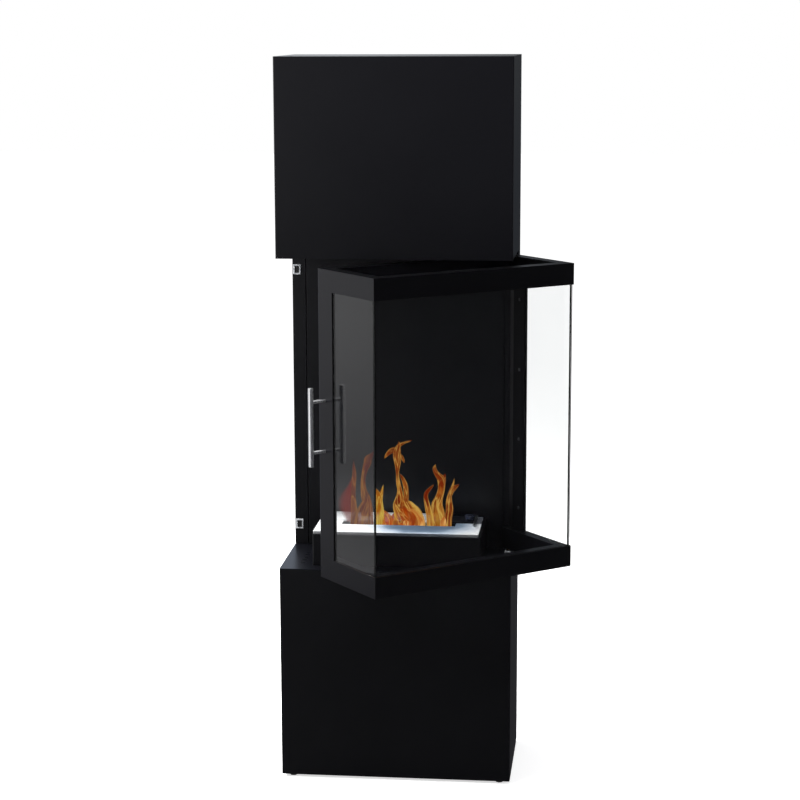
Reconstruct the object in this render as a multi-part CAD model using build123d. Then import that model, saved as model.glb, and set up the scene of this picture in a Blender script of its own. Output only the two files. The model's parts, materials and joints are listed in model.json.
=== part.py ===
from build123d import *
import math
import os

# Free-standing bioethanol fireplace with a three-sided glass door.
# Millimetres, +Z up, +Y to the rear, origin on the floor under the middle of the cabinet.

# Cabinet: overall sizes
body_width = 450.0
body_depth = 260.0
base_height = 418.0
chamber_height = 604.0
hood_height = 378.0
sheet = 2.0

# Glides
glide_height = 6.0
glide_diameter = 16.0
glide_inset_side = 21.0
glide_inset_end = 16.0
glide_chamfer = 1.5

# Rear column
column_depth = 58.0
post_width = 26.0
panel_groove = 2.0

# Air slots in the base top, and warm-air slots in the hood
air_slot_length = 10.0
air_slot_width = 3.5
air_slot_count = 5
air_slot_pitch = 20.0
air_slot_front = 52.0
hood_slot_length = 60.0
hood_slot_width = 5.0
hood_slot_columns = 5
hood_slot_rows = 3
hood_slot_pitch_x = 76.0
hood_slot_pitch_z = 14.0
hood_slot_drop = 40.0

# Door: case, rails and stiles
door_side_gap = 2.5
door_rear_gap = 4.0
door_bottom_gap = 7.0
door_top_gap = 8.0
door_open_angle = 38.7
door_edge_radius = 3.0
rail_height = 41.0
rail_depth = 24.0
rail_wall = 1.5
stile_width = 51.0

# Door: glass and its seals
glass_thickness = 4.0
glass_joint = 0.5
seal_wall = 0.5
seal_base = 1.5
glass_face_wall = 1.5
rail_groove_depth = 10.0
stile_groove_depth = 9.5

# Door: clamp strips
clamp_width = 36.0
clamp_thickness = 3.0
clamp_end_gap = 1.0
clamp_screw_diameter = 3.5
clamp_screw_head = 6.5
clamp_screw_head_height = 2.0
clamp_screw_length = 6.0
clamp_screw_pitch = 139.0
clamp_screw_count = 4
clamp_screw_setback = 15.0

# Door: handle
handle_diameter = 10.0
handle_length = 150.0
handle_hole_spacing = 96.0
handle_standoff = 31.0
handle_post_diameter = 6.0
handle_inset = 23.5
handle_screw_diameter = 3.0
handle_screw_head = 7.0
handle_screw_head_height = 2.5
handle_screw_grip = 12.0
handle_screw_end_gap = 1.0
hole_clearance = 0.2

# Door pivot
pivot_inset = 10.0
pivot_diameter = 8.0
pivot_running_clearance = 0.07
bush_diameter = 12.0
bush_length = 22.0
bush_seat_clearance = 0.05
pivot_engagement = 19.0
pivot_plate_length = 34.0
pivot_plate_thickness = 3.0
pivot_plate_side_inset = 2.0
pivot_plate_rear_gap = 0.5
pivot_screw_diameter = 4.0
pivot_screw_inset = 5.0
pivot_block_length = 24.0
pivot_block_height = 24.0
pivot_block_clearance = 0.1
washer_diameter = 16.0
washer_gap = 0.1

# Catches
catch_width = 15.0
catch_height = 20.0
catch_proud = 3.5
catch_frame = 3.0
catch_body_depth = 12.0
catch_from_side = 9.5
catch_from_door_end = 35.0
strike_width = 8.0
strike_height = 16.0
strike_thickness = 1.0
strike_from_stile = 1.0

# Burner
pedestal_side_margin = 61.0
pedestal_front_margin = 30.0
pedestal_rear_gap = 10.0
pedestal_height = 63.0
door_swing_clearance = 2.5
burner_shift = -3.0
burner_mouth_clearance = 1.0
tray_inset = 3.0
tray_setback = 8.0
tray_height = 4.0
tray_sheet = 1.5
slot_length = 222.0
slot_width = 28.0
slot_from_tray_front = 65.0
slot_collar = 10.0
tray_upstand = 5.0
upstand_right_margin = 14.0
fuel_box_wall = 1.0
fuel_box_margin = 8.0
fuel_box_depth = 48.0
fuel_box_flange = 10.0
wool_gap = 1.0
wool_height = 38.0

# Regulator lid
lid_length = 294.0
lid_thickness = 2.0
lid_behind_slot = 2.0
knob_diameter = 18.0
knob_height = 12.0
knob_neck_diameter = 8.0
knob_neck_height = 3.0
knob_from_end = 11.0
knob_from_front = 13.0
guide_clearance = 0.5
guide_width = 3.0
guide_lip = 2.0
guide_lip_thickness = 1.0

# Screws of the hidden back panels
back_screw_head = 8.0
back_screw_head_height = 2.0
back_screw_inset = 12.0

# Derived heights
base_bottom = glide_height
base_top = base_bottom + base_height
hood_bottom = base_top + chamber_height
hood_top = hood_bottom + hood_height
door_bottom = base_top + door_bottom_gap
door_top = hood_bottom - door_top_gap
door_middle = (door_bottom + door_top) / 2
stile_bottom = door_bottom + rail_height
stile_top = door_top - rail_height

# Derived places across and along
side = body_width / 2
front = -body_depth / 2
rear = body_depth / 2
column_front = rear - column_depth
door_side = side - door_side_gap
door_rear = column_front - door_rear_gap
pivot_x = door_side - pivot_inset
pivot_y = door_rear - pivot_inset
glass_outer = glass_face_wall + seal_wall
groove_width = glass_thickness + 2 * seal_wall
groove_inner = glass_face_wall + groove_width
stile_body = stile_width - stile_groove_depth

# The pedestal stands as far forward as the left rail lets it, as the door swings past
pedestal_half = side - pedestal_side_margin
swing_radius = door_side + pivot_x - rail_depth - door_swing_clearance
swing_reach = math.sqrt(swing_radius**2 - (pivot_x + pedestal_half) ** 2)
pedestal_front = max(front + pedestal_front_margin, pivot_y - swing_reach)
pedestal_rear = column_front - pedestal_rear_gap
pedestal_top = base_top + pedestal_height

# Burner places
tray_half = pedestal_half - tray_inset
tray_front = pedestal_front + tray_setback
tray_rear = pedestal_rear - tray_inset
tray_top = pedestal_top + tray_height
slot_front = tray_front + slot_from_tray_front
slot_rear = slot_front + slot_width
lid_front = slot_rear + lid_behind_slot
lid_rear = tray_rear - tray_sheet - guide_clearance
fuel_half = slot_length / 2 + fuel_box_margin
fuel_front = slot_front - fuel_box_margin
fuel_rear = slot_rear + fuel_box_margin
fuel_bottom = pedestal_top - fuel_box_depth


def block(x0, x1, y0, y1, z0, z1):
    """A box between two corners."""
    size = (x1 - x0, y1 - y0, z1 - z0)
    return Pos((x0 + x1) / 2, (y0 + y1) / 2, (z0 + z1) / 2) * Box(*size)


def rod(x, y, z0, z1, diameter):
    """An upright round bar."""
    return Pos(x, y, (z0 + z1) / 2) * Cylinder(diameter / 2, z1 - z0)


def rod_x(x0, x1, y, z, diameter):
    """A round bar along X."""
    return Pos((x0 + x1) / 2, y, z) * Rot(0, 90, 0) * Cylinder(diameter / 2, x1 - x0)


def rod_y(x, y0, y1, z, diameter):
    """A round bar along Y."""
    return Pos(x, (y0 + y1) / 2, z) * Rot(90, 0, 0) * Cylinder(diameter / 2, y1 - y0)


def plan(points, z0, z1):
    """An outline in plan, raised from one height to another."""
    face = Pos(0, 0, z0) * make_face(Polyline(*points, close=True))
    return extrude(face, z1 - z0, dir=(0, 0, 1))


def centred(count, pitch):
    """Evenly pitched places about zero."""
    return [(i - (count - 1) / 2) * pitch for i in range(count)]


def open_door(shape):
    """Turn a piece drawn in the closed door to where the open door stands."""
    return Pos(pivot_x, pivot_y, 0) * Rot(0, 0, door_open_angle) * Pos(-pivot_x, -pivot_y, 0) * shape


def mirror_left(shape):
    """The same piece on the left-hand side."""
    return mirror(shape, about=Plane.YZ)


def mirror_top(shape):
    """The same piece turned over, from the bottom of the door to its top."""
    return mirror(shape, about=Plane.XY.offset(door_middle))


def solids_of(shapes):
    """Several loose pieces of one kind as one group."""
    return Compound(children=[s for shape in shapes for s in shape.solids()])


# Cabinet

def folded_case(z0, z1, closed_top):
    """Front and two sides folded from one sheet, with a top where it has one."""
    outer = block(-side, side, front, rear, z0, z1)
    upright = [e for e in outer.edges().filter_by(Axis.Z) if e.center().Y < 0]
    outer = fillet(upright, sheet)
    inner_top = z1 - sheet if closed_top else z1
    return outer - block(-side + sheet, side - sheet, front + sheet, rear, z0, inner_top)


def base_shell():
    return folded_case(base_bottom, base_top - sheet, False)


def base_bottom_plate():
    z0 = base_bottom
    return block(-side + sheet, side - sheet, front + sheet, rear - sheet, z0, z0 + sheet)


def base_back_panel():
    z1 = base_top - sheet
    return block(-side + sheet, side - sheet, rear - sheet, rear, base_bottom, z1)


def air_slots():
    """The short slots beside the burner, one row on each side."""
    x = (pedestal_half + door_side - rail_depth) / 2 + air_slot_length / 2
    rows = []
    for i in range(air_slot_count):
        y = front + air_slot_front + i * air_slot_pitch
        slot = SlotOverall(air_slot_length, air_slot_width)
        for sign in (-1, 1):
            rows.append(extrude(Pos(sign * x, y, base_top - 2 * sheet) * slot, 3 * sheet))
    return rows


def base_top_plate():
    plate = block(-side, side, front, rear, base_top - sheet, base_top)
    corners = [e for e in plate.edges().filter_by(Axis.Z) if e.center().Y < 0]
    plate = fillet(corners, sheet)
    return plate - air_slots()


def base_glides():
    glides = []
    for sx in (-1, 1):
        for sy in (-1, 1):
            x = sx * (side - glide_inset_side)
            y = sy * (rear - glide_inset_end)
            glide = rod(x, y, 0, glide_height, glide_diameter)
            rim = glide.edges().filter_by(GeomType.CIRCLE).sort_by(Axis.Z)[0]
            glides.append(chamfer(rim, glide_chamfer))
    return solids_of(glides)


def column_post():
    """The right post: an upright tube between base and hood."""
    x0, x1 = side - post_width, side
    tube = block(x0, x1, column_front, rear, base_top, hood_bottom)
    return tube - block(x0 + sheet, x1 - sheet, column_front + sheet, rear - sheet, base_top, hood_bottom)


def catch_heights():
    return (door_bottom + catch_from_door_end, door_top - catch_from_door_end)


def left_post():
    """The left post, with a pocket for the body of each catch."""
    post = mirror_left(column_post())
    for z in catch_heights():
        post -= catch_pocket(z)
    return post


def catch_box(z, inset, y0, y1):
    """The catch's outline, drawn in from its edge, between two depths."""
    x = -side + catch_from_side
    half_w = catch_width / 2 - inset
    half_h = catch_height / 2 - inset
    return block(x - half_w, x + half_w, y0, y1, z - half_h, z + half_h)


def catch_pocket(z):
    return catch_box(z, catch_frame / 2, column_front - sheet, column_front + 2 * sheet)


def door_catch(z):
    """A catch housing: a square frame in front of the post, a body behind its face."""
    frame = catch_box(z, 0, column_front - catch_proud, column_front)
    body = catch_box(z, catch_frame / 2, column_front, column_front + catch_body_depth)
    mouth = catch_box(z, catch_frame, column_front - catch_proud, column_front + catch_body_depth / 2)
    rim = frame.faces().sort_by(Axis.Y)[0].edges()
    return chamfer(rim, catch_frame / 4) + body - mouth


def catch_magnets():
    y0 = column_front - catch_proud / 2
    y1 = column_front + catch_body_depth / 2
    return solids_of([catch_box(z, catch_frame, y0, y1) for z in catch_heights()])


def panel_between_posts(y0):
    half = side - post_width - panel_groove
    return block(-half, half, y0, y0 + sheet, base_top, hood_bottom)


def chamber_back_panel():
    return panel_between_posts(column_front)


def column_rear_panel():
    return panel_between_posts(rear - sheet)


def hood_shell():
    return folded_case(hood_bottom, hood_top, True)


def slot_field(columns, rows, pitch_x, pitch_row):
    """Places of a field of long slots."""
    return [(x, r) for x in centred(columns, pitch_x) for r in centred(rows, pitch_row)]


def hood_bottom_plate():
    z0 = hood_bottom
    plate = block(-side + sheet, side - sheet, front + sheet, rear - sheet, z0, z0 + sheet)
    slot = SlotOverall(hood_slot_length, hood_slot_width)
    for x, y in slot_field(hood_slot_columns, hood_slot_rows, hood_slot_pitch_x, hood_slot_pitch_z):
        plate -= extrude(Pos(x, y, z0 - sheet) * slot, 3 * sheet)
    return plate


def hood_back_panel():
    z1 = hood_top - sheet
    panel = block(-side + sheet, side - sheet, rear - sheet, rear, hood_bottom, z1)
    slot = SlotOverall(hood_slot_length, hood_slot_width)
    middle = z1 - hood_slot_drop
    for x, z in slot_field(hood_slot_columns, hood_slot_rows, hood_slot_pitch_x, hood_slot_pitch_z):
        panel -= extrude(Pos(x, rear + sheet, middle + z) * Rot(90, 0, 0) * slot, 3 * sheet)
    return panel


def back_screws():
    """Pan-head screws along the side edges of the base and hood back panels."""
    x = side - sheet - back_screw_inset
    heights = []
    for z0, z1 in ((base_bottom, base_top - sheet), (hood_bottom, hood_top - sheet)):
        heights += [z0 + back_screw_inset, (z0 + z1) / 2, z1 - back_screw_inset]
    screws = []
    for z in heights:
        for sign in (-1, 1):
            head = rod_y(sign * x, rear, rear + back_screw_head_height, z, back_screw_head)
            edge = head.edges().filter_by(GeomType.CIRCLE).sort_by(Axis.Y)[-1]
            screws.append(chamfer(edge, back_screw_head_height / 2))
    return solids_of(screws)


# Door pivots

def pivot_plate(z0, z1):
    """The plate of a pivot, beside the post's front."""
    x1 = side - pivot_plate_side_inset
    x0 = 2 * pivot_x - x1
    y1 = column_front - pivot_plate_rear_gap
    plate = block(x0, x1, y1 - pivot_plate_length, y1, z0, z1)
    for x, y in pivot_screw_places():
        plate -= rod(x, y, z0, z1, pivot_screw_diameter)
    return plate


def pivot_screw_places():
    x1 = side - pivot_plate_side_inset - pivot_screw_inset
    x0 = 2 * pivot_x - x1
    y = column_front - pivot_plate_rear_gap - pivot_plate_length + pivot_screw_inset
    return [(x0, y), (x1, y)]


def pin_tip(pin, top):
    """Chamfer the free end of a pin."""
    edge = pin.edges().filter_by(GeomType.CIRCLE).sort_by(Axis.Z)[-1 if top else 0]
    return chamfer(edge, pivot_diameter / 8)


def lower_pivot():
    z0 = base_top
    plate = pivot_plate(z0, z0 + pivot_plate_thickness)
    pin = rod(pivot_x, pivot_y, z0, door_bottom + pivot_engagement, pivot_diameter)
    return plate + pin_tip(pin, True)


def upper_pivot():
    z1 = hood_bottom
    plate = pivot_plate(z1 - pivot_plate_thickness, z1)
    pin = rod(pivot_x, pivot_y, door_top - pivot_engagement, z1, pivot_diameter)
    return plate + pin_tip(pin, False)


def pivot_screws():
    """Countersunk screws flush with the two pivot plates."""
    screws = []
    for x, y in pivot_screw_places():
        screws.append(rod(x, y, base_top, base_top + pivot_plate_thickness, pivot_screw_diameter))
        screws.append(rod(x, y, hood_bottom - pivot_plate_thickness, hood_bottom, pivot_screw_diameter))
    return solids_of(screws)


def thrust_washer():
    z0 = base_top + pivot_plate_thickness
    ring = rod(pivot_x, pivot_y, z0, door_bottom - washer_gap, washer_diameter)
    return ring - rod(pivot_x, pivot_y, z0, door_bottom, pivot_diameter + 2 * bush_seat_clearance)


# Door, drawn closed and then turned open

def round_rear_edge(shape):
    """Round the outer rear upright edge of a piece on the right-hand side."""
    edges = shape.edges().filter_by(Axis.Z)
    edges = [e for e in edges if e.center().X > door_side - 0.01 and e.center().Y > door_rear - 0.01]
    return fillet(edges, door_edge_radius)


def side_hollow():
    """The hollow of the right bottom rail: full width under the glass groove, narrower beside it."""
    z0, z1 = door_bottom + rail_wall, stile_bottom - rail_wall
    x0, x1 = door_side - rail_depth + rail_wall, door_side - rail_wall
    y1 = door_rear - sheet
    low = block(x0, x1, front, y1, z0, z1 - rail_groove_depth)
    high = block(x0, door_side - groove_inner - rail_wall, front, y1, z0, z1)
    return low + high


def side_mitre():
    """Plan outline of the right side rail, mitred at the front corner."""
    points = [
        (door_side, front),
        (door_side, door_rear),
        (door_side - rail_depth, door_rear),
        (door_side - rail_depth, front + rail_depth),
    ]
    return plan(points, door_bottom, stile_bottom)


def right_rail():
    """Bottom rail of the right side, with a closed rear end."""
    z1 = stile_bottom
    rail = block(door_side - rail_depth, door_side, front, door_rear, door_bottom, z1)
    rail = round_rear_edge(rail)
    x1 = door_side - glass_face_wall
    rail -= block(x1 - groove_width, x1, front, door_rear - stile_body, z1 - rail_groove_depth, z1)
    return (rail - side_hollow()) & side_mitre()


def bush_hole():
    z1 = door_bottom + bush_length + rail_wall
    return rod(pivot_x, pivot_y, door_bottom, z1, bush_diameter + 2 * bush_seat_clearance)


def pivot_rail():
    """The right rail with the hole for its bush."""
    return right_rail() - bush_hole()


def left_rail():
    """The same rail on the left, with a pocket for its strike plate."""
    return mirror_left(right_rail()) - strike_plate()


def front_rail():
    """Bottom rail of the front, mitred at both ends."""
    z0, z1 = door_bottom, stile_bottom
    rail = block(-door_side, door_side, front, front + rail_depth, z0, z1)
    y0 = front + glass_face_wall
    rail -= block(-door_side, door_side, y0, y0 + groove_width, z1 - rail_groove_depth, z1)
    inner = front + rail_depth - rail_wall
    low_top = z1 - rail_wall - rail_groove_depth
    rail -= block(-door_side, door_side, front + rail_wall, inner, z0 + rail_wall, low_top)
    high_front = front + groove_inner + rail_wall
    rail -= block(-door_side, door_side, high_front, inner, z0 + rail_wall, z1 - rail_wall)
    points = [
        (-door_side, front),
        (door_side, front),
        (door_side - rail_depth, front + rail_depth),
        (-door_side + rail_depth, front + rail_depth),
    ]
    return rail & plan(points, z0, z1)


def top_rear_rail():
    """A plain box section between the ends of the two top side rails."""
    half = door_side - rail_depth
    y0, y1 = door_rear - rail_depth, door_rear
    z0, z1 = stile_top, door_top
    wall = rail_wall
    rail = block(-half, half, y0, y1, z0, z1)
    return rail - block(-half, half, y0 + wall, y1 - wall, z0 + wall, z1 - wall)


def right_stile():
    """The right stile: a folded box with a rebate for the glass along its front edge."""
    z0, z1 = stile_bottom, stile_top
    x1 = door_side
    body = block(x1 - groove_inner, x1, door_rear - stile_body, door_rear, z0, z1)
    leaf = block(x1 - glass_face_wall, x1, door_rear - stile_width, door_rear - stile_body, z0, z1)
    stile = round_rear_edge(body + leaf)
    hollow_front = door_rear - stile_body + rail_wall
    hollow_inner = x1 - groove_inner + rail_wall
    stile -= block(hollow_inner, x1 - rail_wall, hollow_front, door_rear - sheet, z0, z1)
    for z in clamp_screw_heights():
        stile -= clamp_bore(z, x1 - groove_inner, x1 - groove_inner + rail_wall)
    return stile


def clamp_screw_y():
    return door_rear - stile_width + clamp_screw_setback


def clamp_screw_heights():
    return [door_middle + z for z in centred(clamp_screw_count, clamp_screw_pitch)]


def clamp_bore(z, x0, x1):
    return rod_x(x0, x1, clamp_screw_y(), z, clamp_screw_diameter + hole_clearance)


def handle_heights():
    return [door_middle + z for z in centred(2, handle_hole_spacing)]


def handle_y():
    return door_rear - handle_inset


def left_stile():
    """The left stile, which also carries the handle."""
    stile = mirror_left(right_stile())
    for z in handle_heights():
        hole = handle_screw_diameter + hole_clearance
        stile -= rod_x(-door_side, -door_side + groove_inner, handle_y(), z, hole)
    return stile


def right_clamp_strip():
    x1 = door_side - groove_inner
    y0 = door_rear - stile_width
    z0, z1 = stile_bottom + clamp_end_gap, stile_top - clamp_end_gap
    strip = block(x1 - clamp_thickness, x1, y0, y0 + clamp_width, z0, z1)
    for z in clamp_screw_heights():
        strip -= clamp_bore(z, x1 - clamp_thickness, x1)
    return strip


def left_clamp_strip():
    strip = mirror_left(right_clamp_strip())
    x0 = -door_side + groove_inner
    for z in handle_heights():
        strip -= rod_x(x0, x0 + clamp_thickness, handle_y(), z, handle_screw_diameter + hole_clearance)
    return strip


def clamp_screws():
    """Pan-head screws through both clamp strips into the stiles."""
    screws = []
    x1 = door_side - groove_inner - clamp_thickness
    y = clamp_screw_y()
    for z in clamp_screw_heights():
        head = rod_x(x1 - clamp_screw_head_height, x1, y, z, clamp_screw_head)
        rim = head.edges().filter_by(GeomType.CIRCLE).sort_by(Axis.X)[0]
        shank = rod_x(x1, x1 + clamp_screw_length, y, z, clamp_screw_diameter)
        screw = chamfer(rim, clamp_screw_head_height / 3) + shank
        screws += [screw, mirror_left(screw)]
    return solids_of(screws)


def side_glass():
    x1 = door_side - glass_outer
    y0 = front + glass_outer + glass_thickness + glass_joint
    y1 = door_rear - stile_body - seal_base
    z0 = stile_bottom - rail_groove_depth + seal_base
    z1 = stile_top + rail_groove_depth - seal_base
    return block(x1 - glass_thickness, x1, y0, y1, z0, z1)


def front_glass():
    half = door_side - glass_outer
    y0 = front + glass_outer
    z0 = stile_bottom - rail_groove_depth + seal_base
    z1 = stile_top + rail_groove_depth - seal_base
    return block(-half, half, y0, y0 + glass_thickness, z0, z1)


def bottom_seal():
    """One seal in the groove of the three bottom rails, wrapped round the edges of the panes."""
    z0, z1 = stile_bottom - rail_groove_depth, stile_bottom
    half = door_side - glass_face_wall
    y0 = front + glass_face_wall
    side_run = block(half - groove_width, half, y0, door_rear - stile_body, z0, z1)
    seal = block(-half, half, y0, y0 + groove_width, z0, z1) + side_run + mirror_left(side_run)
    return seal - front_glass() - side_glass() - mirror_left(side_glass())


def stile_seals():
    x1 = door_side - glass_face_wall
    y0 = door_rear - stile_width
    seal = block(x1 - groove_width, x1, y0, door_rear - stile_body, stile_bottom, stile_top) - side_glass()
    return solids_of([seal, mirror_left(seal)])


def door_handle():
    """A bar on two stand-offs."""
    x = -door_side - handle_standoff
    z0 = door_middle - handle_length / 2
    bar = rod(x, handle_y(), z0, z0 + handle_length, handle_diameter)
    bar = chamfer(bar.edges().filter_by(GeomType.CIRCLE), handle_diameter / 10)
    for z in handle_heights():
        bar += rod_x(x, -door_side, handle_y(), z, handle_post_diameter)
    for z in handle_heights():
        bore = handle_screw_diameter + hole_clearance
        bar -= rod_x(-door_side - handle_screw_grip, -door_side, handle_y(), z, bore)
    return bar


def handle_screws():
    screws = []
    x0 = -door_side + groove_inner + clamp_thickness
    for z in handle_heights():
        head = rod_x(x0, x0 + handle_screw_head_height, handle_y(), z, handle_screw_head)
        tip = -door_side - handle_screw_grip + handle_screw_end_gap
        shank = rod_x(tip, x0, handle_y(), z, handle_screw_diameter)
        rim = head.edges().filter_by(GeomType.CIRCLE).sort_by(Axis.X)[-1]
        screws.append(chamfer(rim, handle_screw_head_height / 3) + shank)
    return solids_of(screws)


def strike_plate():
    """The plate that the lower catch pulls on, let in flush with the end of the left rail."""
    x = -side + catch_from_side
    z1 = stile_bottom - strike_from_stile
    y0 = door_rear - strike_thickness
    return block(x - strike_width / 2, x + strike_width / 2, y0, door_rear, z1 - strike_height, z1)


def strike_plates():
    return solids_of([strike_plate(), mirror_top(strike_plate())])


def pivot_block():
    """A solid block welded inside the right bottom rail, bored for the bush."""
    gap = pivot_block_clearance
    x0, x1 = door_side - rail_depth + rail_wall + gap, door_side - rail_wall - gap
    y1 = door_rear - sheet - gap
    z0 = door_bottom + rail_wall
    return block(x0, x1, y1 - pivot_block_length, y1, z0, z0 + pivot_block_height) - bush_hole()


def pivot_bush():
    z1 = door_bottom + bush_length
    sleeve = rod(pivot_x, pivot_y, door_bottom, z1, bush_diameter)
    return sleeve - rod(pivot_x, pivot_y, door_bottom, z1, pivot_diameter + 2 * pivot_running_clearance)


# Burner

def burner_pedestal():
    outer = block(-pedestal_half, pedestal_half, pedestal_front, pedestal_rear, base_top, pedestal_top)
    outer = fillet(outer.edges().filter_by(Axis.Z), sheet)
    inner = block(
        -pedestal_half + sheet,
        pedestal_half - sheet,
        pedestal_front + sheet,
        pedestal_rear - sheet,
        base_top,
        pedestal_top - sheet,
    )
    half = fuel_half + abs(burner_shift) + burner_mouth_clearance
    gap = burner_mouth_clearance
    mouth = block(-half, half, fuel_front - gap, fuel_rear + gap, base_top, pedestal_top)
    return outer - inner - mouth


def burner_tray():
    """A folded tray over the pedestal's top, with the flame slot and its collar."""
    under = tray_top - tray_sheet
    tray = block(-tray_half, tray_half, tray_front, tray_rear, pedestal_top, tray_top)
    tray = fillet(tray.edges().filter_by(Axis.Z), tray_sheet)
    tray -= block(
        -tray_half + tray_sheet,
        tray_half - tray_sheet,
        tray_front + tray_sheet,
        tray_rear - tray_sheet,
        pedestal_top,
        under,
    )
    half = slot_length / 2
    low = tray_top - slot_collar
    wall_half = half + tray_sheet
    collar = block(-wall_half, wall_half, slot_front - tray_sheet, slot_rear + tray_sheet, low, under)
    left_end, right_end = -tray_half + tray_sheet, tray_half - upstand_right_margin
    upstand = block(left_end, right_end, tray_rear - tray_sheet, tray_rear, under, tray_top + tray_upstand)
    slot = block(-half, half, slot_front, slot_rear, low, tray_top)
    slot = fillet(slot.edges().filter_by(Axis.Z), tray_sheet)
    return tray + collar + upstand - slot


def fuel_box():
    """An open box that hangs by its flange in the mouth of the pedestal."""
    wall, rim = fuel_box_wall, fuel_box_flange
    x, y0, y1 = fuel_half, fuel_front, fuel_rear
    outer = block(-x, x, y0, y1, fuel_bottom, pedestal_top)
    outer = fillet(outer.edges().filter_by(Axis.Z), 2 * wall)
    flange = block(-x - rim, x + rim, y0 - rim, y1 + rim, pedestal_top, pedestal_top + wall)
    inner = block(-x + wall, x - wall, y0 + wall, y1 - wall, fuel_bottom + wall, pedestal_top + wall)
    return outer + flange - inner


def fuel_wool():
    gap = fuel_box_wall + wool_gap
    z0 = fuel_bottom + fuel_box_wall
    pad = block(-fuel_half + gap, fuel_half - gap, fuel_front + gap, fuel_rear - gap, z0, z0 + wool_height)
    return fillet(pad.edges().filter_by(Axis.Z), wool_gap)


def regulator_guides():
    """Two small channels on the tray that the ends of the lid run in."""
    x0 = lid_length / 2 + guide_clearance
    y0 = slot_front - lid_behind_slot
    y1 = tray_rear - tray_sheet
    z1 = tray_top + lid_thickness + guide_clearance
    outline = [
        (x0, tray_top),
        (x0 + guide_width, tray_top),
        (x0 + guide_width, z1 + guide_lip_thickness),
        (x0 - guide_lip, z1 + guide_lip_thickness),
        (x0 - guide_lip, z1),
        (x0, z1),
    ]
    face = Plane.XZ * make_face(Polyline(*outline, close=True))
    guide = Pos(0, y1, 0) * extrude(face, y1 - y0, dir=(0, -1, 0))
    return solids_of([guide, mirror_left(guide)])


def regulator_lid():
    half = lid_length / 2
    lid = block(-half, half, lid_front, lid_rear, tray_top, tray_top + lid_thickness)
    rim = lid.faces().sort_by(Axis.Z)[-1].edges().filter_by(Axis.X)
    return chamfer(rim, lid_thickness / 4)


def regulator_knob():
    """A turned knob: a narrow neck under a disc with softened edges."""
    x = lid_length / 2 - knob_from_end
    y = lid_front + knob_from_front
    z0 = tray_top + lid_thickness
    r, neck = knob_diameter / 2, knob_neck_diameter / 2
    edge = knob_neck_height / 2
    outline = Polyline(
        (0, 0),
        (neck, 0),
        (neck, knob_neck_height),
        (r - edge, knob_neck_height),
        (r, knob_neck_height + edge),
        (r, knob_height - edge),
        (r - edge, knob_height),
        (0, knob_height),
        close=True,
    )
    return Pos(x, y, z0) * revolve(Plane.XZ * make_face(outline), Axis.Z)


def write(name, shape):
    export_step(shape, os.path.join("parts", name + ".step"))


def cabinet():
    lower, upper = catch_heights()
    return {
        "base_shell": base_shell(),
        "base_top_plate": base_top_plate(),
        "base_bottom_plate": base_bottom_plate(),
        "base_back_panel": base_back_panel(),
        "base_glides": base_glides(),
        "left_post": left_post(),
        "right_post": column_post(),
        "chamber_back_panel": chamber_back_panel(),
        "column_rear_panel": column_rear_panel(),
        "hood_shell": hood_shell(),
        "hood_bottom_plate": hood_bottom_plate(),
        "hood_back_panel": hood_back_panel(),
        "back_screws": back_screws(),
        "lower_catch": door_catch(lower),
        "upper_catch": door_catch(upper),
        "catch_magnets": catch_magnets(),
        "lower_pivot": lower_pivot(),
        "upper_pivot": upper_pivot(),
        "pivot_screws": pivot_screws(),
        "thrust_washer": thrust_washer(),
        "burner_pedestal": burner_pedestal(),
    }


def door():
    closed = {
        "bottom_left_rail": left_rail(),
        "bottom_front_rail": front_rail(),
        "bottom_right_rail": pivot_rail(),
        "top_left_rail": mirror_top(left_rail()),
        "top_front_rail": mirror_top(front_rail()),
        "top_right_rail": mirror_top(pivot_rail()),
        "top_rear_rail": top_rear_rail(),
        "left_stile": left_stile(),
        "right_stile": right_stile(),
        "left_glass": mirror_left(side_glass()),
        "front_glass": front_glass(),
        "right_glass": side_glass(),
        "left_clamp_strip": left_clamp_strip(),
        "right_clamp_strip": right_clamp_strip(),
        "clamp_screws": clamp_screws(),
        "bottom_seal": bottom_seal(),
        "top_seal": mirror_top(bottom_seal()),
        "stile_seals": stile_seals(),
        "door_handle": door_handle(),
        "handle_screws": handle_screws(),
        "strike_plates": strike_plates(),
        "lower_pivot_block": pivot_block(),
        "upper_pivot_block": mirror_top(pivot_block()),
        "lower_bush": pivot_bush(),
        "upper_bush": mirror_top(pivot_bush()),
    }
    return {name: open_door(shape) for name, shape in closed.items()}


def burner():
    """The burner, which was set down a little to the left in its mouth."""
    centred_burner = {
        "burner_tray": burner_tray(),
        "fuel_box": fuel_box(),
        "fuel_wool": fuel_wool(),
        "regulator_guides": regulator_guides(),
        "regulator_lid": regulator_lid(),
        "regulator_knob": regulator_knob(),
    }
    return {name: solids_of([Pos(burner_shift, 0, 0) * shape]) for name, shape in centred_burner.items()}


os.makedirs("parts", exist_ok=True)
for group in (cabinet(), door(), burner()):
    for node, shape in group.items():
        write(node, shape)
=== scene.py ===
"""Looks for the bioethanol fireplace: finishes, flames, fuel pad, studio and camera."""
import json
import math
import random

import bpy
from mathutils import Matrix, Vector


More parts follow.
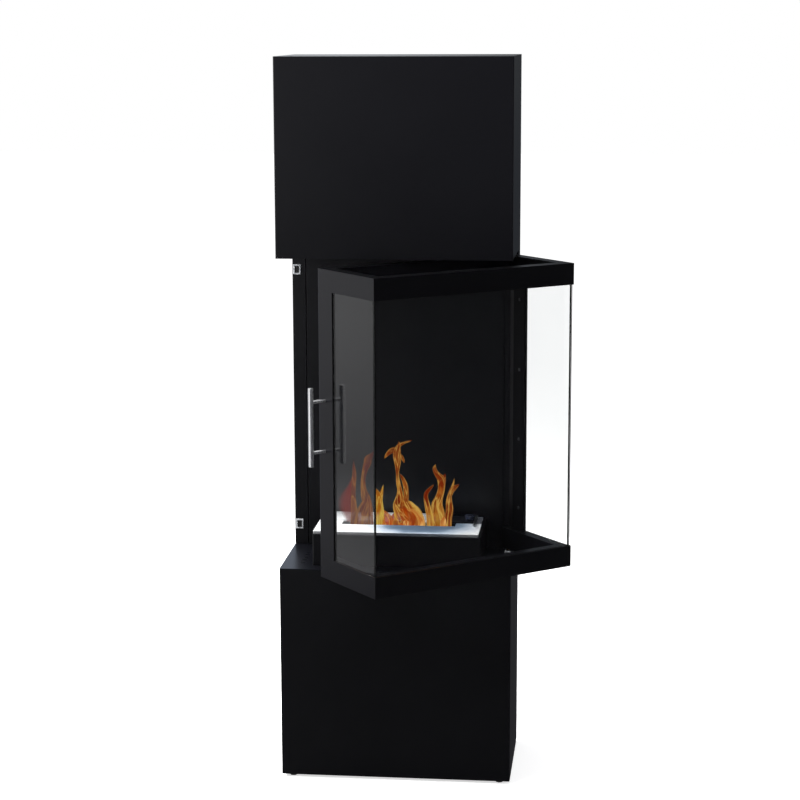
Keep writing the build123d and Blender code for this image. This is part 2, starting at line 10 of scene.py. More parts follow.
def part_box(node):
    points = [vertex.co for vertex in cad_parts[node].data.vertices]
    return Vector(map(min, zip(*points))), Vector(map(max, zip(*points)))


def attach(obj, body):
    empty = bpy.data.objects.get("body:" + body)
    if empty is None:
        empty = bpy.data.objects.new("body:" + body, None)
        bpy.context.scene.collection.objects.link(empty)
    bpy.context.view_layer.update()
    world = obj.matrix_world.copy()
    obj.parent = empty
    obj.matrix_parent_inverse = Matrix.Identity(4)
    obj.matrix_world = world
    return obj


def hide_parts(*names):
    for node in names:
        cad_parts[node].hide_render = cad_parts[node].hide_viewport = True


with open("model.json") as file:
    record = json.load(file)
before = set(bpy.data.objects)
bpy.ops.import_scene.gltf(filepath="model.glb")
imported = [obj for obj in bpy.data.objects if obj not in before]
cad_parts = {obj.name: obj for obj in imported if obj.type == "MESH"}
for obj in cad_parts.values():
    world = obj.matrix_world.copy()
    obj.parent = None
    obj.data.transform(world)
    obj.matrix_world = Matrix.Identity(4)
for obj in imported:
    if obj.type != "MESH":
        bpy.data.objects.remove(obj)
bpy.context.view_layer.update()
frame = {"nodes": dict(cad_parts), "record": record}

MM = 0.001

# Camera, fitted to corners of the hood, the base and the open door in the photograph
IMAGE_SIZE = 800
CAMERA_PLACE = (0.4409, -4.0535, 1.4663)
CAMERA_YAW = math.radians(6.242)
CAMERA_PITCH = math.radians(-10.14)
CAMERA_ROLL = math.radians(-0.16)
FOCAL_PIXELS = 2107.4
SENSOR_WIDTH = 36.0

# Door: how far it stands open at rest, and the radius of its bar
DOOR_OPEN = math.radians(38.7)
HANDLE_RADIUS = 0.005

# Handle posts: how far from the bar's axis the painted highlight on their upper side starts to fade and has
# faded
POST_HIGHLIGHT_FADE_START = 0.016
POST_HIGHLIGHT_FADE_END = 0.027

# Tray: the middle and half sizes of the blue-grey patch around the slot, the share of them at which its
# shades begin, and where the painted dark reflection behind the slot starts and ends
SLOT_PATCH_MIDDLE = (0.043, -0.013)
SLOT_PATCH_REACH = (0.1, 0.09)
SLOT_PATCH_START = 0.5
BEHIND_SLOT = (-0.004, 0.002)
DARK_REFLECTION_SPAN = (0.035, 0.16)

# Powder coat: its roughness. Below about 0.27 the denoiser takes a dark face for a mirror and leaves rings
COAT_ROUGHNESS = (0.285, 0.325)


# Node helpers

class Finish:
    """A node material in the making, with short ways to add what the finishes share."""

    def __init__(self, name):
        self.material = bpy.data.materials.new(name)
        self.material.use_nodes = True
        self.tree = self.material.node_tree
        self.shader = self.tree.nodes["Principled BSDF"]
        self.output = self.tree.nodes["Material Output"]
        self.place = self.add("ShaderNodeTexCoord").outputs["Object"]

    def add(self, kind, **settings):
        node = self.tree.nodes.new(kind)
        for key, value in settings.items():
            setattr(node, key, value)
        return node

    def link(self, source, target):
        self.tree.links.new(source, target)

    def set(self, **values):
        """Constants of the shader, with _ for the spaces in a socket's name."""
        for key, value in values.items():
            self.shader.inputs[key.replace("_", " ")].default_value = value

    def noise(self, scale, detail=2.0, roughness=0.5, stretch=(1, 1, 1)):
        """Noise of a scale per metre, stretched along the axes with small numbers."""
        mapping = self.add("ShaderNodeMapping")
        mapping.inputs["Scale"].default_value = stretch
        self.link(self.place, mapping.inputs["Vector"])
        noise = self.add("ShaderNodeTexNoise")
        noise.inputs["Scale"].default_value = scale
        noise.inputs["Detail"].default_value = detail
        noise.inputs["Roughness"].default_value = roughness
        self.link(mapping.outputs["Vector"], noise.inputs["Vector"])
        return noise.outputs["Fac"]

    def spread(self, value, low, high, start=0.3, end=0.7):
        """A number between low and high as the value goes from start to end."""
        node = self.add("ShaderNodeMapRange")
        node.inputs["From Min"].default_value = start
        node.inputs["From Max"].default_value = end
        node.inputs["To Min"].default_value = low
        node.inputs["To Max"].default_value = high
        self.link(value, node.inputs["Value"])
        return node.outputs["Result"]

    def ramp(self, value, stops):
        """Colours along a value, as (place, colour) stops."""
        node = self.add("ShaderNodeValToRGB")
        band = node.color_ramp
        while len(band.elements) < len(stops):
            band.elements.new(0.5)
        for element, (at, colour) in zip(band.elements, stops):
            element.position = at
            element.color = (*colour, 1)
        self.link(value, node.inputs["Fac"])
        return node.outputs["Color"]

    def colour(self, value, stops):
        """Base colours along a value, as (place, colour) stops."""
        self.link(self.ramp(value, stops), self.shader.inputs["Base Color"])

    def rough(self, value, low, high, start=0.3, end=0.7):
        """Roughness between low and high as the value goes from start to end."""
        self.link(self.spread(value, low, high, start, end), self.shader.inputs["Roughness"])

    def math(self, operation, a, b):
        node = self.add("ShaderNodeMath", operation=operation)
        for socket, value in zip(node.inputs, (a, b)):
            if isinstance(value, (int, float)):
                socket.default_value = value
            else:
                self.link(value, socket)
        return node.outputs[0]

    def bumps(self, layers, round_edge=0.0):
        """Height layers as (value, depth in metres), one on top of the other, over softened edges."""
        normal = None
        if round_edge:
            soft = self.add("ShaderNodeBevel", samples=4)
            soft.inputs["Radius"].default_value = round_edge
            normal = soft.outputs["Normal"]
        for value, depth in layers:
            bump = self.add("ShaderNodeBump")
            bump.inputs["Strength"].default_value = 1.0
            bump.inputs["Distance"].default_value = depth
            self.link(value, bump.inputs["Height"])
            if normal is not None:
                self.link(normal, bump.inputs["Normal"])
            normal = bump.outputs["Normal"]
        if normal is not None:
            self.link(normal, self.shader.inputs["Normal"])


# Finishes

def powder_coat(name, painted_reflection_tint=(1.0, 1.0, 1.0)):
    """Satin black powder coat with a fine orange peel and, where given, a painted colour to its reflections.
    """
    f = Finish(name)
    f.set(Metallic=0.0, Specular_IOR_Level=0.5, Specular_Tint=(*painted_reflection_tint, 1.0))
    cloud = f.noise(5.0, 3.0)
    grain = f.noise(900.0, 2.0)
    f.colour(cloud, [(0.1, (0.0011, 0.0011, 0.0018)), (0.9, (0.0023, 0.0023, 0.0034))])
    f.rough(cloud, *COAT_ROUGHNESS, 0.1, 0.9)
    f.bumps([(f.noise(260.0, 1.0), 0.00002), (grain, 0.00001)], round_edge=0.0006)
    return f.material


def matt_black(name):
    """Thin matt black coat of the clamping strips."""
    f = Finish(name)
    f.set(Metallic=0.0, Specular_IOR_Level=0.1)
    cloud = f.noise(40.0, 3.0)
    f.colour(cloud, [(0.3, (0.0014, 0.0014, 0.0020)), (0.7, (0.0022, 0.0022, 0.0030))])
    f.rough(cloud, 0.42, 0.52)
    f.bumps([(f.noise(700.0, 2.0), 0.00002)], round_edge=0.0004)
    return f.material


def black_plastic(name):
    """Moulded plastic with a fine spark-eroded grain."""
    f = Finish(name)
    f.set(Metallic=0.0, Specular_IOR_Level=0.3)
    cloud = f.noise(60.0)
    f.colour(cloud, [(0.3, (0.008, 0.008, 0.008)), (0.7, (0.012, 0.012, 0.012))])
    f.rough(cloud, 0.5, 0.65)
    f.bumps([(f.noise(2200.0), 0.00003)], round_edge=0.0005)
    return f.material


def glossy_plastic(name):
    """Polished blue-black plastic of the regulator's knob."""
    f = Finish(name)
    f.set(Metallic=0.0, Specular_IOR_Level=0.5)
    cloud = f.noise(90.0)
    f.colour(cloud, [(0.3, (0.010, 0.012, 0.022)), (0.7, (0.016, 0.019, 0.034))])
    f.rough(cloud, 0.12, 0.2)
    f.bumps([(f.noise(1200.0), 0.00001)], round_edge=0.0006)
    return f.material


def brushed_steel(name, along, tone=0.62, metallic=1.0, rough=(0.24, 0.38), cool=0.04):
    """Stainless steel, brushed along one axis, with long faint streaks and fine hairlines."""
    f = Finish(name)
    f.set(Metallic=metallic)
    stretch = tuple(0.02 if axis == along else 1.0 for axis in range(3))
    streak = f.noise(260.0, 3.0, 0.6, stretch)
    hairline = f.noise(1500.0, 2.0, 0.5, stretch)
    dark, light = tone * 0.9, tone * 1.1
    f.colour(streak, [(0.3, (dark * (1 - cool), dark, dark * (1 + cool))),
                      (0.7, (light * (1 - cool), light, light * (1 + cool)))])
    f.rough(hairline, *rough)
    f.bumps([(hairline, 0.00001)], round_edge=0.0004)
    return f.material


def handle_steel(name):
    """Polished bar and its posts.

    Near the bar, the upper side of the posts turns from bright metal to a pale and barely metallic surface,
    a painted highlight.
    """
    f = Finish(name)
    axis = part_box("door_handle")[0] + Vector((HANDLE_RADIUS, HANDLE_RADIUS, 0))
    away = f.add("ShaderNodeMapping")
    away.inputs["Location"].default_value = (-axis.x, -axis.y, 0)
    away.inputs["Scale"].default_value = (1, 1, 0)
    f.link(f.place, away.inputs["Vector"])
    reach = f.add("ShaderNodeVectorMath", operation="LENGTH")
    f.link(away.outputs["Vector"], reach.inputs[0])
    post = f.spread(reach.outputs["Value"], 0.0, 1.0, HANDLE_RADIUS, HANDLE_RADIUS + 0.0005)
    near_bar = f.spread(reach.outputs["Value"], 1.0, 0.0, POST_HIGHLIGHT_FADE_START, POST_HIGHLIGHT_FADE_END)
    hairline = f.noise(1500.0, 2.0, 0.5, (1, 1, 0.02))
    up = f.add("ShaderNodeSeparateXYZ")
    f.link(f.add("ShaderNodeTexCoord").outputs["Normal"], up.inputs[0])
    post_near_bar = f.math("MULTIPLY", post, near_bar)
    upward = f.spread(up.outputs["Z"], 0.0, 1.0, 0.3, 0.75)
    # Painted highlight: the upper side of the posts near the bar is made pale and barely metallic.
    painted_post_highlight = f.math("MULTIPLY", post_near_bar, upward)
    f.link(f.spread(painted_post_highlight, 0.94, 0.1, 0.0, 1.0), f.shader.inputs["Metallic"])
    f.colour(hairline, [(0.3, (0.88, 0.885, 0.89)), (0.7, (0.95, 0.955, 0.96))])
    f.rough(hairline, 0.24, 0.32)
    f.bumps([(hairline, 0.000005)], round_edge=0.0004)
    return f.material


def tray_steel(name):
    """Satin steel of the burner: blue-grey around the slot, with a nearly black painted reflection behind it
    to the right.

    Upright faces are fully metallic, and faces that look up are partly so: a painted shade that keeps the
    upright faces dark.
    """
    f = Finish(name)
    from_slot = f.add("ShaderNodeMapping")
    from_slot.inputs["Location"].default_value = (*(-m / r for m, r in zip(SLOT_PATCH_MIDDLE, SLOT_PATCH_REACH)), 0)
    from_slot.inputs["Scale"].default_value = (*(1 / r for r in SLOT_PATCH_REACH), 0)
    f.link(f.place, from_slot.inputs["Vector"])
    reach = f.add("ShaderNodeVectorMath", operation="LENGTH")
    f.link(from_slot.outputs["Vector"], reach.inputs[0])
    streak = f.noise(260.0, 3.0, 0.6, (0.02, 1, 1))
    wander = f.spread(f.noise(40.0, 2.0), -0.06, 0.06)
    # A blue-grey patch around the slot, darkest near its middle and paling to near white outwards.
    slot_patch = f.ramp(f.math("ADD", f.math("ADD", reach.outputs["Value"], wander), -SLOT_PATCH_START),
                   [(0.1, (0.14, 0.20, 0.29)), (0.25, (0.24, 0.32, 0.43)), (0.34, (0.45, 0.54, 0.66)),
                    (0.52, (0.76, 0.82, 0.90)), (0.74, (0.96, 0.97, 0.98))])
    along = f.add("ShaderNodeSeparateXYZ")
    f.link(f.place, along.inputs[0])
    behind = f.spread(along.outputs["Y"], 0.0, 1.0, *BEHIND_SLOT)
    right = f.spread(along.outputs["X"], 0.0, 1.0, *DARK_REFLECTION_SPAN)
    # Painted reflection behind the slot: pale at its left end, nearly black to the right and greyer at the
    # far right end.
    painted_rear_reflection = f.ramp(right, [(0.0, (0.92, 0.93, 0.94)), (0.4, (0.012, 0.013, 0.018)),
                          (0.84, (0.012, 0.013, 0.018)), (0.95, (0.16, 0.17, 0.20))])
    tone_and_painted_reflection = f.add("ShaderNodeMix", data_type="RGBA")
    f.link(behind, tone_and_painted_reflection.inputs["Factor"])
    f.link(slot_patch, tone_and_painted_reflection.inputs["A"])
    f.link(painted_rear_reflection, tone_and_painted_reflection.inputs["B"])
    shade = f.add("ShaderNodeMix", data_type="RGBA", blend_type="MULTIPLY")
    shade.inputs["Factor"].default_value = 1.0
    f.link(tone_and_painted_reflection.outputs["Result"], shade.inputs["A"])
    f.link(f.ramp(streak, [(0.3, (0.93, 0.93, 0.93)), (0.7, (1, 1, 1))]), shade.inputs["B"])
    f.link(shade.outputs["Result"], f.shader.inputs["Base Color"])
    up = f.add("ShaderNodeSeparateXYZ")
    f.link(f.add("ShaderNodeTexCoord").outputs["Normal"], up.inputs[0])
    # Painted shade: upright faces are made fully metallic so that they stay dark, while faces that look up
    # light up.
    f.link(f.spread(up.outputs["Z"], 1.0, 0.45, 0.3, 0.7), f.shader.inputs["Metallic"])
    f.rough(f.noise(1500.0, 2.0, 0.5, (0.02, 1, 1)), 0.38, 0.48)
    f.bumps([(streak, 0.00001)], round_edge=0.0004)
    return f.material


def zinc_plate(name):
    """Bright zinc plating, slightly clouded."""
    f = Finish(name)
    f.set(Metallic=0.6)
    cloud = f.noise(220.0, 3.0)
    f.colour(cloud, [(0.3, (0.58, 0.60, 0.64)), (0.7, (0.72, 0.73, 0.74))])
    f.rough(cloud, 0.2, 0.34)
    f.bumps([(f.noise(1400.0), 0.00001)], round_edge=0.0003)
    return f.material


def bronze(name):
    """Turned sintered bronze with fine pores."""
    f = Finish(name)
    f.set(Metallic=1.0)
    pores = f.noise(1800.0, 2.0)
    f.colour(pores, [(0.35, (0.28, 0.17, 0.07)), (0.6, (0.52, 0.34, 0.15))])
    f.rough(pores, 0.5, 0.32)
    f.bumps([(pores, 0.00003)])
    return f.material


def ferrite(name):
    """Sintered ferrite of the catch magnets."""
    f = Finish(name)
    f.set(Metallic=0.0, Specular_IOR_Level=0.4)
    grain = f.noise(1600.0, 3.0)
    f.colour(grain, [(0.3, (0.004, 0.004, 0.004)), (0.7, (0.01, 0.01, 0.01))])
    f.rough(grain, 0.4, 0.6)
    f.bumps([(grain, 0.00004)])
    return f.material


def silicone(name):
    """Matt black silicone of the glazing seals."""
    f = Finish(name)
    f.set(Metallic=0.0, Specular_IOR_Level=0.2)
    cloud = f.noise(300.0, 3.0)
    f.colour(cloud, [(0.3, (0.004, 0.004, 0.004)), (0.7, (0.008, 0.008, 0.008))])
    f.rough(cloud, 0.6, 0.75)
    f.bumps([(f.noise(1800.0), 0.00002)])
    return f.material


def glass(name, facing):
    """Clear toughened glass with green polished edges. facing is the pane's own direction at rest."""
    f = Finish(name)
    f.set(Transmission_Weight=1.0, IOR=1.48, Roughness=0.0)
    across = f.add("ShaderNodeVectorMath", operation="DOT_PRODUCT")
    across.inputs[1].default_value = facing
    f.link(f.add("ShaderNodeTexCoord").outputs["Normal"], across.inputs[0])
    flat = f.math("ABSOLUTE", across.outputs["Value"], 0.0)
    tint = f.add("ShaderNodeMix", data_type="RGBA", blend_type="MULTIPLY")
    tint.inputs["Factor"].default_value = 1.0
    f.link(f.ramp(flat, [(0.45, (0.22, 0.52, 0.40)), (0.6, (0.995, 1.0, 0.998))]), tint.inputs["A"])
    f.link(f.ramp(f.noise(14.0, 4.0), [(0.35, (0.988, 0.99, 0.99)), (0.65, (1, 1, 1))]), tint.inputs["B"])
    f.link(tint.outputs["Result"], f.shader.inputs["Base Color"])
    clear = f.add("ShaderNodeBsdfTransparent")
    clear.inputs["Color"].default_value = (0.92, 0.94, 0.93, 1)
    either = f.add("ShaderNodeMixShader")
    f.link(f.add("ShaderNodeLightPath").outputs["Is Shadow Ray"], either.inputs["Fac"])
    f.link(f.shader.outputs["BSDF"], either.inputs[1])
    f.link(clear.outputs["BSDF"], either.inputs[2])
    f.link(either.outputs["Shader"], f.output.inputs["Surface"])
    return f.material


def ceramic_fibre(name):
    """Ceramic wool with matted fibres, coloured dark grey as painted shade of the slot over it."""
    f = Finish(name)
    f.set(Metallic=0.0, Specular_IOR_Level=0.1, Roughness=0.95)
    fibres = f.noise(700.0, 5.0, 0.7, (1.0, 0.25, 1.0))
    # Painted shade: the wool's dark greys stand in for the shade in the slot.
    f.colour(fibres, [(0.3, (0.03, 0.028, 0.026)), (0.6, (0.12, 0.11, 0.10))])
    f.bumps([(fibres, 0.0004)])
    return f.material


def flame_light(name, shades, density, solid_to, rim_density):
    """Glowing gas: bright veins and rims over a darker, thinner body that reddens towards its tip.

    The attribute "rise" holds the share of the height and the nearness to the rim, and "lane" holds where a
    point is across and along its tongue.
    """
    f = Finish(name)
    facts = f.add("ShaderNodeSeparateColor")
    f.link(f.add("ShaderNodeAttribute", attribute_name="rise").outputs["Color"], facts.inputs["Color"])
    height, rim = facts.outputs["Red"], facts.outputs["Green"]
    f.place = f.add("ShaderNodeAttribute", attribute_name="lane").outputs["Vector"]
    curl = f.noise(115.0, 1.0, 0.5, (1.0, 0.13, 1.0))
    patch = f.noise(60.0, 2.0, 0.5, (1.0, 0.4, 1.0))
    line = f.math("ABSOLUTE", f.math("SUBTRACT", curl, 0.5), 0.0)
    vein = f.spread(line, 0.85, 0.0, 0.0, 0.06)
    edge = f.math("MULTIPLY", f.spread(rim, 0.0, 1.0, 0.66, 0.93), f.spread(patch, 0.25, 1.0, 0.42, 0.58))
    bright = f.math("MAXIMUM", vein, edge)
    heat = f.math("ADD", patch, f.spread(height, 0.02, -0.1, 0.2, 0.95))
    deep, body, gold, glowing = shades
    under = f.ramp(heat, [(0.44, deep), (0.52, body), (0.62, gold)])
    colour = f.add("ShaderNodeMix", data_type="RGBA")
    colour.inputs["B"].default_value = (*glowing, 1)
    f.link(f.math("MULTIPLY", bright, f.spread(height, 1.0, 0.65, 0.3, 0.9)), colour.inputs["Factor"])
    f.link(under, colour.inputs["A"])
    glow = f.add("ShaderNodeEmission")
    f.link(colour.outputs["Result"], glow.inputs["Color"])
    thick = f.math("MULTIPLY", f.spread(bright, 0.7 * density, density, 0.0, 1.0),
                   f.spread(rim, 1.0, rim_density, solid_to, 1.0))
    clear = f.add("ShaderNodeBsdfTransparent")
    mix = f.add("ShaderNodeMixShader")
    f.link(f.math("MULTIPLY", thick, f.spread(height, 1.0, 0.6, 0.8, 1.0)), mix.inputs["Fac"])
    f.link(clear.outputs["BSDF"], mix.inputs[1])
    f.link(glow.outputs["Emission"], mix.inputs[2])
    f.link(mix.outputs["Shader"], f.output.inputs["Surface"])
    f.tree.nodes.remove(f.shader)
    return f.material


def pane_facing(closed_direction):
    """A direction of the closed door, turned to where the open door stands."""
    return Matrix.Rotation(DOOR_OPEN, 3, "Z") @ Vector(closed_direction)


# The axis that a steel is brushed along
ALONG_X, ALONG_Z = 0, 2
side_glass = glass("side_glass", pane_facing((1, 0, 0)))
front_pane = glass("front_glass", pane_facing((0, 1, 0)))
steel_x = brushed_steel("brushed_steel_along", ALONG_X)
finishes = {
    "black_paint": powder_coat("powder_coat"),
    "black_screws": powder_coat("blackened_screws"),
    "glide_plastic": black_plastic("black_plastic"),
    "knob_plastic": glossy_plastic("glossy_plastic"),
    "zinc": zinc_plate("zinc_plate"),
    "magnet": ferrite("ferrite"),
    "bronze": bronze("bronze"),
    "glass": side_glass,
    "silicone": silicone("silicone"),
    "stainless": steel_x,
    "ceramic_wool": ceramic_fibre("ceramic_fibre"),
}
tray_finish = tray_steel("tray_steel")
strip_finish = matt_black("matt_black")
own_finish = {
    # The base top's bluish tint to its reflections is a painted reflection.
    "base_top_plate": powder_coat("top_plate_painted_blue_reflection", (0.66, 0.77, 0.94)),
    "front_glass": front_pane,
    "door_handle": handle_steel("handle_steel"),
    "burner_tray": tray_finish,
    "regulator_lid": tray_finish,
    "left_clamp_strip": strip_finish,
    "right_clamp_strip": strip_finish,
    "clamp_screws": brushed_steel("burnished_screws", ALONG_Z, 0.09, 1.0, (0.3, 0.45)),
    "fuel_box": brushed_steel("heat_stained_steel", ALONG_X, 0.06, 0.8, (0.45, 0.6)),
}


def finish_frame():
    """Give each CAD node its finish."""
    for part in frame["record"]["subparts"]:
        node = part["node"]
        obj = frame["nodes"][node]
        obj.data.materials.clear()
        obj.data.materials.append(own_finish.get(node, finishes[part["material_slot"]]))


finish_frame()


# Meshes

def mesh_object(name, points, faces, material, smooth=True):
    mesh = bpy.data.meshes.new(name)
    mesh.from_pydata(points, [], faces)
    mesh.validate()
    mesh.materials.append(material)
    for polygon in mesh.polygons:
        polygon.use_smooth = smooth
    obj = bpy.data.objects.new(name, mesh)
    bpy.context.scene.collection.objects.link(obj)
    return obj


def between(p, q, r, s, t):
    """The number at t on a smooth curve from q to r, with p before them and s after."""
    return 0.5 * (2 * q + (r - p) * t + (2 * p - 5 * q + 4 * r - s) * t**2 + (3 * q - p - 3 * r + s) * t**3)


def smooth_path(stations, steps):
    """Points along a smooth curve through the stations, with steps between each two."""
    ends = [stations[0]] + list(stations) + [stations[-1]]
    path = []
    for a, b, c, d in zip(ends, ends[1:], ends[2:], ends[3:]):
        for i in range(steps):
            path.append([between(*near, i / steps) for near in zip(a, b, c, d)])
    path.append(list(stations[-1]))
    return path


# Flames: each has its place across the slot and its tongues, and each tongue has stations of
# (place along the slot, height over the tray, half width), all in millimetres
TONGUE_STEPS = 5
TONGUE_SIDES = 20
TONGUE_THICKNESS = 0.55
LARGEST_HALF_DEPTH = 9.0
LEAST_HALF_SIZE = 0.05
SWAY = 2.5
SWAY_WAVE = 26
SWAY_FULL_HEIGHT = 60
TRAY_UPSTAND = 0.005
# How far the streaks are shifted along their lane, in metres: for each further tongue of a flame, and for
# each millimetre of a tongue's place along the slot
LANE_SHIFT = 0.4
LANE_SHIFT_ALONG = 0.005

tray_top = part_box("burner_tray")[1].z - TRAY_UPSTAND
slot_middle = (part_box("fuel_box")[0].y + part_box("fuel_box")[1].y) / 2

FLAMES = {
    "centre": (0.0, [
        [(14, -4, 34), (13, 13, 31), (6, 28, 24), (-1, 40, 17), (-3, 52, 9), (-3, 67, 5), (-6, 84, 4),
         (-7, 101, 3.2), (-7, 113, 4.5), (-7, 126, 7), (-8, 138, 8), (-7, 150, 6.5), (-4, 160, 3),
         (-5, 167, 0)],
        [(-8, 147, 5), (-14, 148, 6), (-20, 146, 5.5), (-26, 141, 4), (-30, 136, 2.5), (-33, 131, 0)],
        [(-6, 156, 4), (2, 161, 2.8), (9, 164, 2), (16, 166, 1.6), (22, 169, 0)],
        [(-7, 142, 4), (-4, 137, 4.5), (1, 134, 3.5), (4, 128, 2.4), (6, 122, 0)],
        [(6, 22, 10), (9, 33, 9), (9, 45, 6), (10, 57, 5), (9, 72, 5), (6, 84, 4.2), (1, 94, 2.8),
         (-4, 101, 0)],
    ]),
    "beside_edge": (-3.0, [
        [(-42, -4, 9.5), (-42, 19, 8.5), (-43, 39, 7.5), (-44, 56, 5.5), (-48, 66, 3.2), (-51, 72, 0)],
        [(-42, 42, 5), (-41, 51, 4.5), (-39, 61, 3.3), (-37, 71, 1.8), (-35, 79, 0)],
    ]),
    "right_low": (-4.0, [
        [(58, -4, 7), (56, 19, 6.3), (53, 36, 5.8), (50, 51, 4.8), (50, 63, 4.2), (56, 72, 3.2),
         (62, 78, 1.8), (65, 82, 0)],
    ]),
    "right_tall": (2.0, [
        [(75, -4, 14), (73, 19, 14), (71, 39, 11.5), (75, 54, 8), (79, 69, 7), (80, 83, 7.6), (78, 93, 7.6),
         (72, 100, 5.6), (67, 108, 4.3), (66, 114, 3.4), (68, 121, 0)],
        [(80, 80, 7), (82, 88, 6), (84, 94, 4.5), (86, 99, 2.2), (87, 103, 0)],
    ]),
    "right_end": (-2.0, [
        [(93, -4, 7), (94, 15, 7.2), (96, 32, 7.6), (95, 47, 6.2), (96, 59, 4.4), (100, 69, 5), (105, 75, 5),
         (111, 79, 2.6), (115, 83, 0)],
        [(98, 62, 4), (100, 70, 3.6), (102, 79, 2.4), (104, 87, 1.4), (105, 95, 0)],
    ]),
    "left_low": (-3.0, [
        [(-79, -4, 20), (-77, 11, 18), (-72, 28, 12), (-68, 43, 7), (-67, 52, 0)],
        [(-58, -4, 6), (-58, 16, 5.4), (-59, 36, 4.8), (-61, 51, 3.2), (-62, 63, 0)],
    ]),
    "left_tall": (3.0, [
        [(-68, 14, 10), (-67, 41, 9), (-70, 56, 8), (-73, 73, 5.4), (-73, 90, 4.8), (-70, 105, 5.8),
         (-65, 120, 8), (-63, 129, 8), (-57, 136, 4.2), (-52, 145, 0)],
        [(-91, -4, 9), (-91, 16, 7.4), (-92, 35, 6), (-93, 55, 5), (-93, 75, 5), (-91, 95, 4.2),
         (-92, 112, 2.6), (-92, 127, 0)],
    ]),
    "left_faint": (6.0, [
        [(-100, 2, 8), (-103, 14, 12), (-106, 28, 17), (-106, 42, 18), (-103, 56, 14), (-98, 70, 9),
         (-95, 84, 5), (-93, 98, 0)],
    ]),
    "low_left": (1.0, [
        [(-31, -4, 16), (-31, 6, 15.5), (-34, 15, 11), (-39, 24, 5), (-42, 31, 0)],
        [(-17, -4, 9), (-16, 8, 8), (-13, 17, 5), (-12, 26, 0)],
    ]),
    "low_centre": (-4.5, [
        [(20, -4, 28), (21, 5, 28), (17, 14, 23), (10, 22, 16), (4, 29, 9), (-1, 35, 0)],
    ]),
    "low_curls": (-10.0, [
        [(13, -3, 9), (13, 3, 9.5), (12, 8, 7), (12, 12, 0)],
        [(40, -3, 3.6), (43, 5, 3.4), (42, 12, 2.6), (37, 18, 0)],
        [(84, -4, 6), (84, 6, 6), (85, 13, 4.6), (86, 20, 0)],
    ]),
}


def tongue(stations, middle_y, phase):
    """Points, faces and facts of one closed tongue lofted through its stations.

    A point's facts are its share of the height, how near the rim it is, and its lane: metres across the
    tongue and along it, for streaks that follow its bends.
    """
    path = smooth_path(stations, TONGUE_STEPS)
    top = max(z for x, z, w in path)
    points, facts, faces = [], [], []
    run_so_far = 0.0
    for i, (x, z, w) in enumerate(path):
        before, after = path[max(i - 1, 0)], path[min(i + 1, len(path) - 1)]
        run = Vector((after[0] - before[0], after[1] - before[1])).normalized()
        run_so_far += (Vector((x, z)) - Vector(before[:2])).length
        depth = min(max(w, 0) * TONGUE_THICKNESS, LARGEST_HALF_DEPTH)
        sway = SWAY * math.sin(z / SWAY_WAVE + phase) * min(z / SWAY_FULL_HEIGHT, 1)
        for k in range(TONGUE_SIDES):
            turn = 2 * math.pi * k / TONGUE_SIDES
            out = max(w, LEAST_HALF_SIZE) * math.cos(turn)
            y = middle_y + sway + max(depth, LEAST_HALF_SIZE) * math.sin(turn)
            points.append(Vector((x + out * run.y, 0, z - out * run.x)) * MM + Vector((0, y * MM, 0)))
            facts.append((max(z, 0) / top, abs(math.cos(turn)), Vector((out, run_so_far, y)) * MM))
    rings = len(path)
    for i in range(rings - 1):
        for k in range(TONGUE_SIDES):
            n = (k + 1) % TONGUE_SIDES
            faces.append([i * TONGUE_SIDES + k, i * TONGUE_SIDES + n,
                          (i + 1) * TONGUE_SIDES + n, (i + 1) * TONGUE_SIDES + k])
    faces.append(list(range(TONGUE_SIDES))[::-1])
    faces.append([(rings - 1) * TONGUE_SIDES + k for k in range(TONGUE_SIDES)])
    return points, facts, faces


def flame(name, middle_y, tongues, material):
    """One flame of several tongues, standing in the burner's slot."""
    points, facts, faces = [], [], []
    for number, stations in enumerate(tongues):
        more, more_facts, more_faces = tongue(stations, middle_y, number + middle_y)
        shift = Vector((0, LANE_SHIFT * number + LANE_SHIFT_ALONG * stations[0][0], 0))
        faces += [[index + len(points) for index in face] for face in more_faces]
        points += more
        facts += [(height, rim, lane + shift) for height, rim, lane in more_facts]
    base = Vector((0, slot_middle, tray_top))
    obj = mesh_object(name, [base + p for p in points], faces, material)
    colours = obj.data.color_attributes.new("rise", "FLOAT_COLOR", "POINT")
    lanes = obj.data.attributes.new("lane", "FLOAT_VECTOR", "POINT")
    for colour, lane, (height, rim, along) in zip(colours.data, lanes.data, facts):
        colour.color = (height, rim, 0, 1)
        lane.vector = along
    obj.visible_diffuse = False
    obj.visible_glossy = False
    obj.visible_shadow = False
    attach(obj, "burner")


# Shades of a flame: deep, body, gold and its brightest veins
GOLDEN = ((0.17, 0.014, 0.001), (0.32, 0.064, 0.005), (0.40, 0.17, 0.015), (0.62, 0.38, 0.08))
# Dimmer and redder shades for flames behind the left pane: the pane's dimming painted in, kept when the door
# moves.
PANE_DIMMED_SHADES = ((0.08, 0.006, 0.0), (0.14, 0.018, 0.0), (0.17, 0.045, 0.002), (0.30, 0.14, 0.02))
GILDED = ((0.36, 0.10, 0.006), (0.42, 0.19, 0.015), (0.48, 0.30, 0.03), (0.62, 0.46, 0.09))
SCARLET = ((0.26, 0.022, 0.001), (0.42, 0.05, 0.003), (0.48, 0.10, 0.01), (0.62, 0.32, 0.07))
# Faint dim red shades, with the left pane's dimming painted in as well.
EMBER_PANE_DIMMED = ((0.15, 0.004, 0.0), (0.16, 0.006, 0.0), (0.17, 0.008, 0.0), (0.18, 0.01, 0.0))
BRIGHT = ((0.45, 0.12, 0.02), (0.6, 0.24, 0.05), (0.72, 0.38, 0.1), (0.85, 0.55, 0.2))
